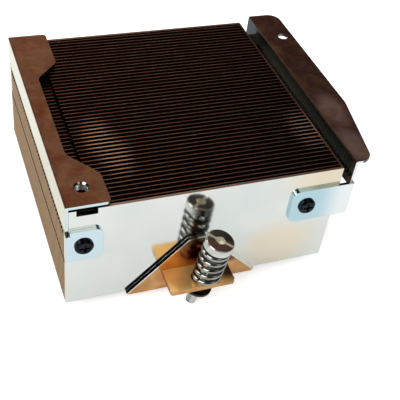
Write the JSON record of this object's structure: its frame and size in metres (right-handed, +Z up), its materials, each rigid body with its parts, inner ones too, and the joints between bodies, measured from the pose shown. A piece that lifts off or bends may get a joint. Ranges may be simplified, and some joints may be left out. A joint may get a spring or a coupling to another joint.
{
  "type": "cpu heatsink",
  "caption": "Heatsink of folded sheet fins over a copper base, with a bracket along each side and sprung captive screws in the ears of the base",
  "frame": {"origin": "the middle of the copper contact face, midway between the two captive screws", "axes": "+Z up out of the contact face through the fins; +Y along the stack of fins from the front plate to the rear plate, along the line of the captive screws; +X across the fins towards the bracket whose flange turns outwards"},
  "size_m": [0.0941, 0.102, 0.0409],
  "materials": {
    "plated_fins": "bright nickel plate on thin rolled sheet",
    "copper": "bare machined copper",
    "plated_steel": "bright plated pressed sheet",
    "black_steel": "blackened steel, slightly glossy",
    "bright_steel": "turned steel, bright plate",
    "dark_steel": "dark spring steel",
    "spring_steel": "drawn spring wire, bright"
  },
  "bodies": {
    "root": {"front_plate": "plated_fins", "fin_02": "plated_fins", "fin_03": "plated_fins", "fin_04": "plated_fins", "fin_05": "plated_fins", "fin_06": "plated_fins", "fin_07": "plated_fins", "fin_08": "plated_fins", "fin_09": "plated_fins", "fin_10": "plated_fins", "fin_11": "plated_fins", "fin_12": "plated_fins", "fin_13": "plated_fins", "fin_14": "plated_fins", "fin_15": "plated_fins", "fin_16": "plated_fins", "fin_17": "plated_fins", "fin_18": "plated_fins", "fin_19": "plated_fins", "fin_20": "plated_fins", "fin_21": "plated_fins", "fin_22": "plated_fins", "fin_23": "plated_fins", "fin_24": "plated_fins", "fin_25": "plated_fins", "fin_26": "plated_fins", "fin_27": "plated_fins", "fin_28": "plated_fins", "fin_29": "plated_fins", "fin_30": "plated_fins", "fin_31": "plated_fins", "fin_32": "plated_fins", "fin_33": "plated_fins", "fin_34": "plated_fins", "fin_35": "plated_fins", "fin_36": "plated_fins", "fin_37": "plated_fins", "fin_38": "plated_fins", "fin_39": "plated_fins", "fin_40": "plated_fins", "fin_41": "plated_fins", "fin_42": "plated_fins", "fin_43": "plated_fins", "fin_44": "plated_fins", "fin_45": "plated_fins", "fin_46": "plated_fins", "fin_47": "plated_fins", "fin_48": "plated_fins", "rear_plate": "plated_fins", "copper_base": "copper", "left_bracket": "plated_steel", "right_bracket": "plated_steel", "bracket_screws": "black_steel", "front_spring": "spring_steel", "rear_spring": "spring_steel"},
    "front_captive": {"front_ring": "dark_steel"},
    "front_driver": {"front_screw": "bright_steel"},
    "rear_captive": {"rear_ring": "dark_steel"},
    "rear_driver": {"rear_screw": "bright_steel"}
  },
  "joints": [
    {"name": "front_screw_press", "type": "slide", "parent": "root", "child": "front_captive", "axis": [-0.1751, 0.1134, -0.978], "range_m": [-0.0006, 0.004], "stiffness_N_per_m": 2000, "deforming": ["front_spring"]},
    {"name": "front_screw_turn", "type": "hinge", "parent": "front_captive", "child": "front_driver", "pos_m": [0.00057, -0.04609, 0.00766], "axis": [-0.1751, 0.1134, -0.978], "continuous": true},
    {"name": "rear_screw_press", "type": "slide", "parent": "root", "child": "rear_captive", "axis": [0, 0, -1], "range_m": [-0.0006, 0.004], "stiffness_N_per_m": 2000, "deforming": ["rear_spring"]},
    {"name": "rear_screw_turn", "type": "hinge", "parent": "rear_captive", "child": "rear_driver", "pos_m": [0, 0.04564, 0.00766], "axis": [0, 0, -1], "continuous": true}
  ]
}
